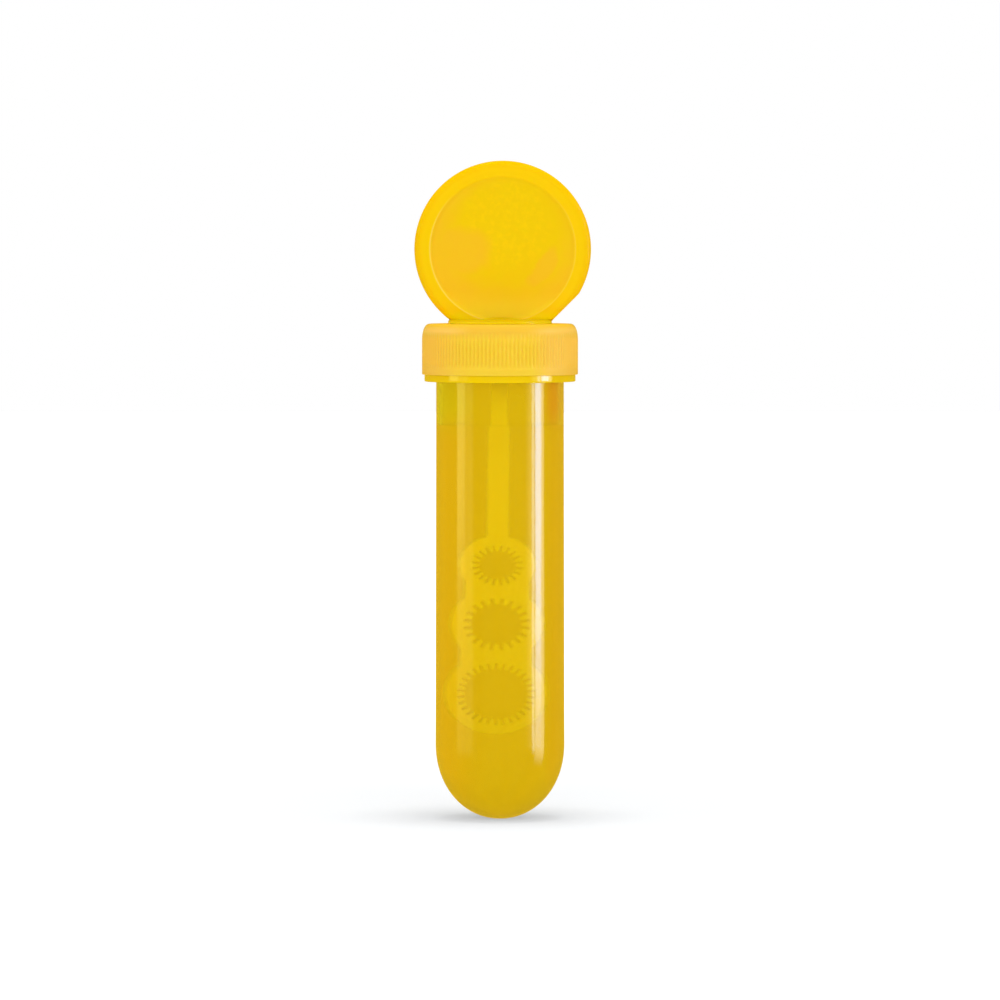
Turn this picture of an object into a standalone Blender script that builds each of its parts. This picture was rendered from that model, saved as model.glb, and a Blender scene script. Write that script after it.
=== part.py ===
import math

import bmesh
import bpy

# Bubble blower: a round-bottomed tube of bubble liquid, its ribbed screw cap with a washer, and a wand of
# three toothed rings that hangs from a round handle. Metres, +Z up. The tube stands on the flat at the tip of
# its dome, with its axis on Z and the tip at the origin. The handle and the rings face -Y.

# Clearances
seat_gap = 0.0003
fit_gap = 0.0003
pass_gap = 0.0007

# Ring wand; each list runs from the smallest ring, at the top, down to the largest
ring_radii = [0.0062, 0.0076, 0.00845]
ring_hole_radii = [0.0030, 0.00425, 0.0053]
tooth_depths = [0.00125, 0.0013, 0.0013]
tooth_counts = [20, 20, 30]
ring_overlap = 0.0013
web_half_widths = [0.0052, 0.0058]
wand_thickness = 0.0030
stem_width = 0.0034
tooth_root_share = 0.36
tooth_tip_share = 0.44
wand_lean = math.radians(0.5)
floor_clearance = 0.0170

# Tube
tube_wall = 0.0012
body_step = 0.00054
body_draft = 0.00016
body_height = 0.0928
dome_height = 0.0159
foot_flat_radius = 0.0018
floor_flat_radius = 0.0011
flange_thickness = 0.0013
flange_step = 0.0005
flange_round = 0.0003
neck_height = 0.0074
neck_wall = 0.0013
seal_ledge = 0.0020

# Screw thread, right-handed, on the neck and inside the cap
thread_pitch = 0.0030
thread_height = 0.0009
thread_root_width = 0.0013
thread_tip_width = 0.0006
thread_inset = 0.0004
thread_base = 0.0018
tube_thread_turns = 1.25
cap_thread_turns = 1.0

# Screw cap
cap_wall = 0.00215
cap_plate = 0.0015
cap_band_height = 0.0014
cap_edge_round = 0.0002
cap_shoulder_width = 0.00165
cap_shoulder_height = 0.0036
rib_count = 120
rib_depth = 0.00022
rib_run_in = 0.0003

# Washer under the cap
seal_thickness = 0.0010

# Handle
disc_radius = 0.01868
disc_thickness = 0.0040
disc_rise = 0.0148
disc_lean = math.radians(2.2)
disc_edge_round = 0.0014
flank_cut = 0.0006
flank_angle = math.radians(45)
rim_width = 0.00348
panel_depth = 0.0006
panel_draft = 0.0003
foot_thickness = 0.0009
foot_edge_round = 0.0002
foot_ledge = 0.00115
plug_length = 0.0060
plug_wall = 0.0012
plug_chamfer = 0.0004
boss_wall = 0.0012
socket_depth = 0.0056

# Fineness of the round shapes
round_steps = 48
thread_steps = 48
thread_run_in_steps = 3
ring_steps = 16
disc_steps = 96
dome_steps = 9
edge_steps = 4
shoulder_steps = 5
ribbed_shoulder_levels = 3
sharp_angle = math.radians(35)
merge_distance = 0.000001
cut_margin = 0.0010

# Heights up the axis, worked out from the foot
flange_top = body_height + flange_thickness
rim_z = flange_top + neck_height
seal_bottom = rim_z + seat_gap
seal_top = seal_bottom + seal_thickness
cap_ceiling = seal_top + seat_gap
cap_top = cap_ceiling + cap_plate
cap_bottom = flange_top + seat_gap
foot_bottom = cap_top + seat_gap
foot_top = foot_bottom + foot_thickness
plug_bottom = foot_bottom - plug_length
socket_roof = plug_bottom + socket_depth
stem_top = socket_roof - seat_gap
disc_centre_z = foot_top + disc_rise
disc_centre_x = math.tan(disc_lean) * disc_rise
panel_radius = disc_radius - rim_width

# Ring centres, measured down from the top of the stem
lowest_drop = stem_top - (tube_wall + floor_clearance + ring_radii[2])
lower_spacing = ring_radii[1] + ring_radii[2] - ring_overlap
upper_spacing = ring_radii[0] + ring_radii[1] - ring_overlap
ring_drops = [lowest_drop - lower_spacing - upper_spacing, lowest_drop - lower_spacing, lowest_drop]

# Radii, worked outward from the largest ring, which has to pass through the mouth
wand_sway = math.sin(wand_lean) * lowest_drop
mouth_radius = ring_radii[2] + wand_sway + pass_gap
neck_bore = mouth_radius + seal_ledge
neck_radius = neck_bore + neck_wall
thread_radius = neck_radius + thread_height
cap_bore = thread_radius + fit_gap
cap_thread_tip = neck_radius + fit_gap
cap_radius = cap_bore + cap_wall
flange_radius = cap_radius - flange_step
body_radius = neck_radius + body_step
shoulder_radius = body_radius - body_draft
foot_radius = mouth_radius + foot_ledge
plug_radius = mouth_radius - fit_gap
socket_half_width = stem_width / 2 + fit_gap
socket_half_depth = wand_thickness / 2 + fit_gap
boss_radius = math.hypot(socket_half_width, socket_half_depth) + boss_wall


def clear_scene():
    for old in list(bpy.data.objects):
        bpy.data.objects.remove(old, do_unlink=True)


def plastic(name, colour, roughness, transmission=0.0):
    material = bpy.data.materials.new(name)
    material.use_nodes = True
    shader = material.node_tree.nodes["Principled BSDF"]
    shader.inputs["Base Color"].default_value = (*colour, 1.0)
    shader.inputs["Roughness"].default_value = roughness
    shader.inputs["Metallic"].default_value = 0.0
    shader.inputs["Transmission Weight"].default_value = transmission
    return material


def add_object(name, bm, material=None):
    bmesh.ops.recalc_face_normals(bm, faces=bm.faces)
    mesh = bpy.data.meshes.new(name)
    bm.to_mesh(mesh)
    bm.free()
    mesh.shade_smooth()
    mesh.set_sharp_from_angle(angle=sharp_angle)
    obj = bpy.data.objects.new(name, mesh)
    bpy.context.scene.collection.objects.link(obj)
    if material:
        mesh.materials.append(material)
    return obj


def combine(target, operation, operand):
    # The operand stays in the scene as a hidden wire guide of the target
    operand.hide_render = True
    operand.display_type = "WIRE"
    operand.parent = target
    modifier = target.modifiers.new(operand.name, "BOOLEAN")
    modifier.operation = operation
    modifier.solver = "EXACT"
    modifier.object = operand


def turned(profile, closed=False):
    # Turns a profile of (radius, z) points about the axis; an open profile starts and ends on the axis
    bm = bmesh.new()
    verts = [bm.verts.new((radius, 0.0, z)) for radius, z in profile]
    edges = [bm.edges.new(pair) for pair in zip(verts, verts[1:])]
    if closed:
        edges.append(bm.edges.new((verts[-1], verts[0])))
    bmesh.ops.spin(
        bm,
        geom=verts + edges,
        axis=(0, 0, 1),
        cent=(0, 0, 0),
        angle=math.tau,
        steps=round_steps,
        use_merge=True,
    )
    bmesh.ops.remove_doubles(bm, verts=bm.verts, dist=merge_distance)
    return bm


def lofted(rows):
    # Joins closed rows of points, all of one length, and closes the first and the last with flat caps
    bm = bmesh.new()
    loops = [[bm.verts.new(point) for point in row] for row in rows]
    for near, far in zip(loops, loops[1:]):
        for i in range(len(near)):
            j = (i + 1) % len(near)
            bm.faces.new((near[i], near[j], far[j], far[i]))
    bm.faces.new(loops[0])
    bm.faces.new(loops[-1])
    return bm


def plate(outline, thickness):
    # A flat plate in the XZ plane, centred on y = 0, from (x, z) points
    return lofted([[(x, y, z) for x, z in outline] for y in (-thickness / 2, thickness / 2)])


def thread_ridge(base_radius, tip_radius, start_turn, turns, drop=0.0):
    # A helical ridge with a trapezoid section that reaches its full height over its first and last steps.
    # It follows the tube's thread from start_turn on, lowered by the drop.
    steps = round(thread_steps * turns)
    rows = []
    for i in range(steps + 1):
        turn = start_turn + turns * i / steps
        angle = math.tau * turn
        z = flange_top + thread_base + thread_pitch * turn - drop
        grown = min(1.0, (i + 1) / thread_run_in_steps, (steps - i + 1) / thread_run_in_steps)
        reach = base_radius + (tip_radius - base_radius) * grown
        section = [
            (base_radius, z - thread_root_width / 2),
            (reach, z - thread_tip_width / 2),
            (reach, z + thread_tip_width / 2),
            (base_radius, z + thread_root_width / 2),
        ]
        rows.append([(r * math.cos(angle), r * math.sin(angle), height) for r, height in section])
    return lofted(rows)


def dome(radius, height, tip_radius, tip_z, base_z):
    # Points up an elliptical dome, from its tip circle to its base, where it is upright
    reach = height / math.sqrt(1.0 - (tip_radius / radius) ** 2)
    start = math.acos(tip_radius / radius)
    points = []
    for i in range(dome_steps + 1):
        angle = start * (1.0 - i / dome_steps)
        points.append((radius * math.cos(angle), base_z - reach * math.sin(angle)))
    points[0] = (tip_radius, tip_z)
    return points


def make_tube(material):
    outside = [(0.0, 0.0)]
    outside += dome(body_radius, dome_height, foot_flat_radius, 0.0, dome_height)
    outside += [
        (shoulder_radius, body_height),
        (flange_radius - flange_round, body_height),
        (flange_radius, body_height + flange_round),
        (flange_radius, flange_top - flange_round),
        (flange_radius - flange_round, flange_top),
        (neck_radius, flange_top),
        (neck_radius, rim_z),
    ]
    inside = [(0.0, tube_wall)]
    inner_radius = body_radius - tube_wall
    inside += dome(inner_radius, dome_height - tube_wall, floor_flat_radius, tube_wall, dome_height)
    inside += [
        (shoulder_radius - tube_wall, body_height - tube_wall),
        (neck_bore, body_height),
        (neck_bore, rim_z),
    ]
    tube = add_object("tube", turned(outside + inside[::-1]), material)
    ridge = thread_ridge(neck_radius - thread_inset, thread_radius, 0.0, tube_thread_turns)
    combine(tube, "UNION", add_object("tube_thread", ridge))
    return tube


def ribbed_row(radius, depth, z):
    # One level of the cap's skirt: crests at the full radius, valleys cut in by the depth
    points = []
    for i in range(2 * rib_count):
        angle = math.pi * i / rib_count
        r = radius - depth * (i % 2)
        points.append((r * math.cos(angle), r * math.sin(angle), z))
    return points


def make_cap(material):
    rib_bottom = cap_bottom + cap_band_height
    rows = [
        ribbed_row(cap_radius - cap_edge_round, 0.0, cap_bottom),
        ribbed_row(cap_radius, 0.0, cap_bottom + cap_edge_round),
        ribbed_row(cap_radius, 0.0, rib_bottom),
        ribbed_row(cap_radius, rib_depth, rib_bottom + rib_run_in),
    ]
    for i in range(shoulder_steps + 1):
        angle = math.pi / 2 * i / shoulder_steps
        radius = cap_radius - cap_shoulder_width * (1.0 - math.cos(angle))
        z = cap_top - cap_shoulder_height * (1.0 - math.sin(angle))
        rows.append(ribbed_row(radius, rib_depth if i < ribbed_shoulder_levels else 0.0, z))
    cap = add_object("screw_cap", lofted(rows), material)

    bore = turned([
        (0.0, cap_top + cut_margin),
        (mouth_radius, cap_top + cut_margin),
        (mouth_radius, cap_ceiling),
        (cap_bore, cap_ceiling),
        (cap_bore, cap_bottom - cut_margin),
        (0.0, cap_bottom - cut_margin),
    ])
    combine(cap, "DIFFERENCE", add_object("cap_bore", bore))

    # The cap's ridge runs half a pitch under the tube's, and ends where the tube's ends
    start_turn = tube_thread_turns - cap_thread_turns
    base_radius = cap_bore + thread_inset
    ridge = thread_ridge(base_radius, cap_thread_tip, start_turn, cap_thread_turns, thread_pitch / 2)
    combine(cap, "UNION", add_object("cap_thread", ridge))
    return cap


def make_seal(material):
    outer_radius = cap_bore - fit_gap
    profile = [
        (mouth_radius, seal_bottom),
        (outer_radius, seal_bottom),
        (outer_radius, seal_top),
        (mouth_radius, seal_top),
    ]
    return add_object("seal_ring", turned(profile, closed=True), material)


def disc_row(inset, y):
    # The handle's circle at one depth, with a straight flank low on its right, cut off by a chord that lies
    # inside the foot
    radius = disc_radius - inset
    chord_z = (foot_top + foot_bottom) / 2
    half_angle = math.acos((disc_centre_z - chord_z) / radius)
    points = []
    for i in range(disc_steps + 1):
        angle = -math.pi / 2 + half_angle + (math.tau - 2 * half_angle) * i / disc_steps
        x, z = radius * math.cos(angle), radius * math.sin(angle)
        flank_x = (radius - flank_cut + z * math.sin(flank_angle)) / math.cos(flank_angle)
        points.append((disc_centre_x + min(x, flank_x), y, disc_centre_z + z))
    return points


def panel_row(radius, y):
    angles = [math.tau * i / disc_steps for i in range(disc_steps)]
    return [(disc_centre_x + radius * math.cos(a), y, disc_centre_z + radius * math.sin(a)) for a in angles]


def make_handle(material):
    front = []
    for i in range(edge_steps + 1):
        angle = math.pi / 2 * i / edge_steps
        inset = disc_edge_round * (1.0 - math.sin(angle))
        front.append((inset, disc_edge_round * (1.0 - math.cos(angle)) - disc_thickness / 2))
    back = [(inset, -y) for inset, y in reversed(front)]
    handle = add_object("handle_disc", lofted([disc_row(inset, y) for inset, y in front + back]), material)

    for side in (-1, 1):
        face_y = side * disc_thickness / 2
        rows = [
            panel_row(panel_radius, face_y + side * cut_margin),
            panel_row(panel_radius, face_y),
            panel_row(panel_radius - panel_draft, face_y - side * panel_depth),
        ]
        combine(handle, "DIFFERENCE", add_object("panel_recess", lofted(rows)))

    foot = turned([
        (0.0, foot_top),
        (foot_radius - foot_edge_round, foot_top),
        (foot_radius, foot_top - foot_edge_round),
        (foot_radius, foot_bottom),
        (plug_radius, foot_bottom),
        (plug_radius, plug_bottom + plug_chamfer),
        (plug_radius - plug_chamfer, plug_bottom),
        (plug_radius - plug_wall, plug_bottom),
        (plug_radius - plug_wall, foot_bottom),
        (boss_radius, foot_bottom),
        (boss_radius, plug_bottom),
        (0.0, plug_bottom),
    ])
    combine(handle, "UNION", add_object("handle_foot", foot))

    socket_outline = [
        (-socket_half_width, plug_bottom - cut_margin),
        (socket_half_width, plug_bottom - cut_margin),
        (socket_half_width, socket_roof),
        (-socket_half_width, socket_roof),
    ]
    combine(handle, "DIFFERENCE", add_object("stem_socket", plate(socket_outline, 2 * socket_half_depth)))
    return handle


def toothed_outline(tip, root, teeth, centre_z):
    # Each tooth has two points at its tip, on the clear hole, and two at the root beside it
    corners = [
        (tip, -tooth_tip_share / 2),
        (tip, tooth_tip_share / 2),
        (root, 0.5 - tooth_root_share / 2),
        (root, 0.5 + tooth_root_share / 2),
    ]
    points = []
    for i in range(teeth):
        for radius, share in corners:
            angle = math.tau * (i + share) / teeth
            points.append((radius * math.cos(angle), centre_z + radius * math.sin(angle)))
    return points


def wand_outline():
    # Up the right side an arc round each ring and a straight edge between them, then the same down the left
    edges = [0.0, web_half_widths[1], web_half_widths[0], stem_width / 2]
    right = []
    for k, (radius, drop) in enumerate(zip(ring_radii[::-1], ring_drops[::-1])):
        start = -math.acos(edges[k] / radius)
        end = math.acos(edges[k + 1] / radius)
        for i in range(ring_steps + 1):
            angle = start + (end - start) * i / ring_steps
            right.append((radius * math.cos(angle), radius * math.sin(angle) - drop))
    right.append((stem_width / 2, 0.0))
    return right + [(-x, z) for x, z in right[:0:-1]]


def make_wand(material):
    # Modelled hanging from its own origin at the top of the stem, then leaned about it
    wand = add_object("ring_wand", plate(wand_outline(), wand_thickness), material)
    for tip, depth, teeth, drop in zip(ring_hole_radii, tooth_depths, tooth_counts, ring_drops):
        hole = plate(toothed_outline(tip, tip + depth, teeth, -drop), wand_thickness + 2 * cut_margin)
        combine(wand, "DIFFERENCE", add_object("toothed_hole", hole))
    wand.location = (0.0, 0.0, stem_top)
    wand.rotation_euler = (0.0, wand_lean, 0.0)
    return wand


def main():
    clear_scene()
    make_tube(plastic("clear_yellow_plastic", (0.87, 0.60, 0.02), 0.08, 0.8))
    make_cap(plastic("satin_yellow_plastic", (0.98, 0.60, 0.03), 0.38))
    make_seal(plastic("white_washer", (0.85, 0.85, 0.82), 0.60))
    make_handle(plastic("gloss_yellow_plastic", (0.98, 0.62, 0.0), 0.15))
    make_wand(plastic("yellow_wand_plastic", (0.95, 0.58, 0.01), 0.25))


main()
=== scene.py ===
import math

import bmesh
import bpy
from mathutils import Matrix, Vector


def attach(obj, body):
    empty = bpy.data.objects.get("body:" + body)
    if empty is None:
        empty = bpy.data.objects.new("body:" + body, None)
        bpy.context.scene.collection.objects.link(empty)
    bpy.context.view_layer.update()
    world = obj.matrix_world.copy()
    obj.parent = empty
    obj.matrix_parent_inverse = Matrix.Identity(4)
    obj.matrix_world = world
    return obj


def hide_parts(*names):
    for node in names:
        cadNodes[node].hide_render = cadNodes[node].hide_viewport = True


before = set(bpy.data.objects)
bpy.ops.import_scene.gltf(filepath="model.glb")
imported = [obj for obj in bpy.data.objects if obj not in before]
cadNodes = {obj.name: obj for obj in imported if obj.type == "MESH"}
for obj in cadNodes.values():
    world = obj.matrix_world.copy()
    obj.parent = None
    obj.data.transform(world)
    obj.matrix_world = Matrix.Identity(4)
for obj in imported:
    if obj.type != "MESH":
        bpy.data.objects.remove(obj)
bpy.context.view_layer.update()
mm = 0.001


# Shared helpers

def latheBmesh(profile, steps, closed=False):
    # Turns (radius, z) points about the Z axis; an open profile starts and ends on the axis
    bm = bmesh.new()
    verts = [bm.verts.new((radius, 0.0, z)) for radius, z in profile]
    edges = [bm.edges.new(pair) for pair in zip(verts, verts[1:])]
    if closed:
        edges.append(bm.edges.new((verts[-1], verts[0])))
    bmesh.ops.spin(bm, geom=verts + edges, axis=(0, 0, 1), cent=(0, 0, 0), angle=math.tau,
                   steps=steps, use_merge=True)
    bmesh.ops.remove_doubles(bm, verts=bm.verts, dist=1e-7)
    return bm


def cornerEdges(bm, degrees):
    # Edges where two faces meet at more than this angle
    limit = math.radians(degrees)
    return [edge for edge in bm.edges if len(edge.link_faces) == 2 and edge.calc_face_angle(0.0) > limit]


def roundCorners(bm, edges, radius, segments):
    bmesh.ops.bevel(bm, geom=edges, offset=radius, offset_type="OFFSET", segments=segments, profile=0.5,
                    affect="EDGES", material=-1, clamp_overlap=True)


def smoothMesh(mesh, sharp=32):
    # Smooth shading, with a sharp edge wherever the faces turn by more than this angle
    mesh.shade_smooth()
    mesh.set_sharp_from_angle(angle=math.radians(sharp))


def addPiece(name, bm, material, sharp=32):
    bmesh.ops.recalc_face_normals(bm, faces=bm.faces)
    mesh = bpy.data.meshes.new(name)
    bm.to_mesh(mesh)
    bm.free()
    smoothMesh(mesh, sharp)
    if material:
        mesh.materials.append(material)
    piece = bpy.data.objects.new(name, mesh)
    bpy.context.scene.collection.objects.link(piece)
    return piece


def joinSolid(piece, other, operation="UNION"):
    # Joins or cuts with another solid for good, and removes that solid
    modifier = piece.modifiers.new("join", "BOOLEAN")
    modifier.operation = operation
    modifier.solver = "EXACT"
    modifier.object = other
    evaluated = piece.evaluated_get(bpy.context.evaluated_depsgraph_get())
    joined = bpy.data.meshes.new_from_object(evaluated)
    piece.modifiers.remove(modifier)
    oldMesh = piece.data
    piece.data = joined
    joined.name = piece.name
    bpy.data.meshes.remove(oldMesh)
    bpy.data.objects.remove(other, do_unlink=True)


def newMaterial(name):
    material = bpy.data.materials.new(name)
    material.use_nodes = True
    tree = material.node_tree
    tree.nodes.clear()
    output = tree.nodes.new("ShaderNodeOutputMaterial")
    return material, tree, output


def addNode(tree, kind, **inputs):
    # A node with its inputs set by name, underscores standing for spaces
    node = tree.nodes.new(kind)
    for name, value in inputs.items():
        socket = node.inputs[name.replace("_", " ")]
        if hasattr(value, "is_output"):
            tree.links.new(value, socket)
        else:
            socket.default_value = value
    return node


def mixColours(tree, amount, first, second, blend="MIX"):
    node = tree.nodes.new("ShaderNodeMix")
    node.data_type = "RGBA"
    node.blend_type = blend
    for index, value in ((0, amount), (6, first), (7, second)):
        if hasattr(value, "is_output"):
            tree.links.new(value, node.inputs[index])
        else:
            node.inputs[index].default_value = value
    return node.outputs[2]


def mixShaders(tree, amount, first, second):
    node = tree.nodes.new("ShaderNodeMixShader")
    for socket, value in zip(node.inputs, (amount, first, second)):
        tree.links.new(value, socket)
    return node.outputs[0]


def maths(tree, operation, first, second=0.0):
    node = tree.nodes.new("ShaderNodeMath")
    node.operation = operation
    for socket, value in zip(node.inputs, (first, second)):
        if hasattr(value, "is_output"):
            tree.links.new(value, socket)
        else:
            socket.default_value = value
    return node.outputs[0]


def mapRange(tree, value, fromLow, fromHigh, toLow=0.0, toHigh=1.0, smooth=False):
    node = addNode(tree, "ShaderNodeMapRange", Value=value, From_Min=fromLow, From_Max=fromHigh,
                   To_Min=toLow, To_Max=toHigh)
    if smooth:
        node.interpolation_type = "SMOOTHSTEP"
    return node.outputs["Result"]


def objectCoords(tree, scale=(1, 1, 1), location=(0, 0, 0)):
    coords = tree.nodes.new("ShaderNodeTexCoord")
    mapping = addNode(tree, "ShaderNodeMapping", Vector=coords.outputs["Object"], Scale=scale,
                      Location=location)
    return mapping.outputs["Vector"]


def noise(tree, vector, scale, detail=3.0, roughness=0.5, distortion=0.0):
    node = addNode(tree, "ShaderNodeTexNoise", Vector=vector, Scale=scale, Detail=detail,
                   Roughness=roughness, Distortion=distortion)
    return node.outputs["Fac"]


def bump(tree, height, strength, distance, under=None):
    # Bumps can be laid over the normal of a coarser bump
    node = addNode(tree, "ShaderNodeBump", Height=height, Strength=strength, Distance=distance)
    if under is not None:
        tree.links.new(under, node.inputs["Normal"])
    return node.outputs["Normal"]


def vectorLength(tree, vector):
    node = tree.nodes.new("ShaderNodeVectorMath")
    node.operation = "LENGTH"
    tree.links.new(vector, node.inputs[0])
    return node.outputs["Value"]


# Camera: a long lens a little above the cap's height, as in the photograph

cameraLook = {
    "distance": 1.40,
    "elevation": 2.4,
    "aimHeight": 67.5 * mm,
    "aimSide": 0.0,
    "frameWidth": 211.8 * mm,
}


def placeCamera(look):
    tilt = math.radians(look["elevation"])
    data = bpy.data.cameras.new("photoCamera")
    data.sensor_width = 36.0
    data.sensor_fit = "HORIZONTAL"
    data.lens = data.sensor_width * look["distance"] / look["frameWidth"]
    data.clip_start = 0.05
    data.clip_end = 20.0
    camera = bpy.data.objects.new("photoCamera", data)
    aim = Vector((look["aimSide"], 0.0, look["aimHeight"]))
    camera.location = aim + Vector((0.0, -math.cos(tilt), math.sin(tilt))) * look["distance"]
    camera.rotation_euler = (math.pi / 2 - tilt, 0.0, 0.0)
    bpy.context.scene.collection.objects.link(camera)
    bpy.context.scene.camera = camera


placeCamera(cameraLook)
print("camera placed")


# Studio: white surroundings and two soft lamps. Gloss mirrors yellow surroundings instead, with tall pale
# strips on the left and the right.

studioLook = {
    "fillHorizon": 0.97,
    "fillAbove": 0.56,
    "mirrorTint": (1.0, 0.66, 0.035, 1.0),
    # Brightness by place, from the camera's side (0) to straight behind the object (1)
    "mirrorLevels": [(0.25, 0.35), (0.50, 0.55), (0.80, 0.75)],
    "throughLevels": [(0.50, 1.0), (0.85, 0.73)],
    "leftTint": (1.0, 0.98, 0.9, 1.0),
    "rightTint": (1.0, 0.93, 0.9, 1.0),
    "tintRange": (0.05, 0.9),
    # Each strip's light, its two sides and their softness in degrees, and the heights where it starts and
    # is at its full strength
    "strips": {
        "rightGlow": ((1.1, 0.95, 0.50, 1.0), 52.0, 60.0, 7.0, 0.8, -0.130, -0.060),
        "rightLine": ((2.6, 2.9, 3.0, 1.0), 59.6, 64.5, 0.6, 0.4, -0.220, -0.062),
        "rightStrip": ((2.1, 2.0, 1.6, 1.0), 65.8, 86.0, 0.5, 1.2, -0.420, -0.078),
        "rightCore": ((0.9, 2.4, 5.4, 1.0), 66.5, 79.5, 0.8, 2.6, -0.098, -0.056),
        "leftStrip": ((1.05, 0.95, 0.30, 1.0), -83.5, -66.5, 1.8, 2.4, -0.070, -0.042),
        "leftGlow": ((0.42, 0.42, 0.14, 1.0), -83.5, -50.0, 1.6, 3.0, -0.300, -0.062),
    },
    "stripTop": (0.60, 0.35),
    "lampAim": 70.0 * mm,
    "topLamp": {"power": 17.0, "size": 0.62, "azimuth": 50.0, "elevation": 88.5, "distance": 2.0},
    "frontLamp": {"power": 1.75, "size": 0.8, "azimuth": 4.0, "elevation": 9.0, "distance": 0.85},
}


def ramp(tree, value, stops):
    # A smooth run of grey levels from (position, level) pairs
    node = tree.nodes.new("ShaderNodeValToRGB")
    node.color_ramp.interpolation = "EASE"
    tree.links.new(value, node.inputs["Fac"])
    elements = node.color_ramp.elements
    elements[0].position, elements[1].position = stops[0][0], stops[-1][0]
    for position, _ in stops[1:-1]:
        elements.new(position)
    for element, (_, level) in zip(elements, stops):
        element.color = (level, level, level, 1.0)
    return node.outputs["Color"]


def stripBand(tree, azimuth, height, top, first, last, softFirst, softLast, low, full):
    # 1 inside a tall strip that stands between two angles from the camera's side, with soft borders
    first, last, softFirst, softLast = (math.radians(angle) for angle in (first, last, softFirst, softLast))
    rise = mapRange(tree, azimuth, first - softFirst, first + softFirst, smooth=True)
    fall = mapRange(tree, azimuth, last + softLast, last - softLast, smooth=True)
    above = mapRange(tree, height, low, full, smooth=True)
    below = mapRange(tree, height, *top, smooth=True)
    across = maths(tree, "MULTIPLY", rise, fall)
    return maths(tree, "MULTIPLY", across, maths(tree, "MULTIPLY", above, below))


def buildWorld(look):
    world = bpy.data.worlds.new("studio")
    bpy.context.scene.world = world
    world.use_nodes = True
    world.cycles.sampling_method = "NONE"  # so that each kind of ray sees its own surroundings
    tree = world.node_tree
    tree.nodes.clear()
    output = tree.nodes.new("ShaderNodeOutputWorld")
    direction = tree.nodes.new("ShaderNodeTexCoord").outputs["Generated"]
    parts = addNode(tree, "ShaderNodeSeparateXYZ", Vector=direction)
    depth = mapRange(tree, parts.outputs["Y"], -1.0, 1.0)

    # What gloss mirrors is brightest behind the object, and what shows through the tube is darkest there
    mirrored = ramp(tree, depth, look["mirrorLevels"])
    through = ramp(tree, depth, look["throughLevels"])

    near, far = look["tintRange"]
    right = mapRange(tree, parts.outputs["X"], near, far, smooth=True)
    left = mapRange(tree, parts.outputs["X"], -near, -far, smooth=True)
    tint = mixColours(tree, right, (1, 1, 1, 1), look["rightTint"])
    tint = mixColours(tree, left, tint, look["leftTint"])

    azimuth = maths(tree, "ARCTAN2", parts.outputs["X"], maths(tree, "MULTIPLY", parts.outputs["Y"], -1.0))
    mirrored = mixColours(tree, 1.0, look["mirrorTint"], mirrored, "MULTIPLY")
    for light, *place in look["strips"].values():
        band = stripBand(tree, azimuth, parts.outputs["Z"], look["stripTop"], *place)
        mirrored = mixColours(tree, band, mirrored, light, "ADD")

    # The surroundings light the object a little less from above, where the lamp adds its share
    fill = mapRange(tree, parts.outputs["Z"], 0.0, 1.0, look["fillHorizon"], look["fillAbove"])
    levels = [
        ((1, 1, 1, 1), fill, None),
        (mirrored, 1.0, "Is Glossy Ray"),
        (mixColours(tree, 1.0, tint, through, "MULTIPLY"), 1.0, "Is Transmission Ray"),
        ((1, 1, 1, 1), 1.0, "Is Camera Ray"),
    ]
    paths = tree.nodes.new("ShaderNodeLightPath")
    shown = None
    for colour, strength, ray in levels:
        light = addNode(tree, "ShaderNodeBackground", Color=colour, Strength=strength).outputs[0]
        shown = mixShaders(tree, paths.outputs[ray], shown, light) if ray else light
    tree.links.new(shown, output.inputs["Surface"])


def softbox(name, look, aim):
    # Azimuth 0 is the camera's side, and 90 is on the right of the photograph
    data = bpy.data.lights.new(name, "AREA")
    data.shape = "SQUARE"
    data.size = look["size"]
    data.energy = look["power"]
    lamp = bpy.data.objects.new(name, data)
    across, up = math.radians(look["azimuth"]), math.radians(look["elevation"])
    offset = Vector((math.sin(across) * math.cos(up), -math.cos(across) * math.cos(up), math.sin(up)))
    lamp.location = aim + offset * look["distance"]
    lamp.rotation_euler = offset.to_track_quat("Z", "Y").to_euler()
    lamp.visible_camera = False
    lamp.visible_glossy = False
    lamp.visible_transmission = False
    bpy.context.scene.collection.objects.link(lamp)


def buildLights(look):
    aim = Vector((0.0, 0.0, look["lampAim"]))
    softbox("topSoftbox", look["topLamp"], aim)
    softbox("frontSoftbox", look["frontLamp"], aim)


buildWorld(studioLook)
buildLights(studioLook)
print("studio lit")


# Floor: pale, glowing only for the camera's sight so that it meets the white backdrop

floorLook = {
    "halfWidth": 3.0,
    "colour": (0.83, 0.84, 0.85, 1.0),
    "fibreColour": (0.7, 0.7, 0.7, 1.0),
    "fibreShare": 0.03,
    "glow": (0.94, 0.97, 1.0, 1.0),
    "glowNear": 0.083,
    "glowFar": 0.66,
    "nearReach": 0.06,
    "farReach": 0.40,
    "drop": 0.03 * mm,
}


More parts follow.
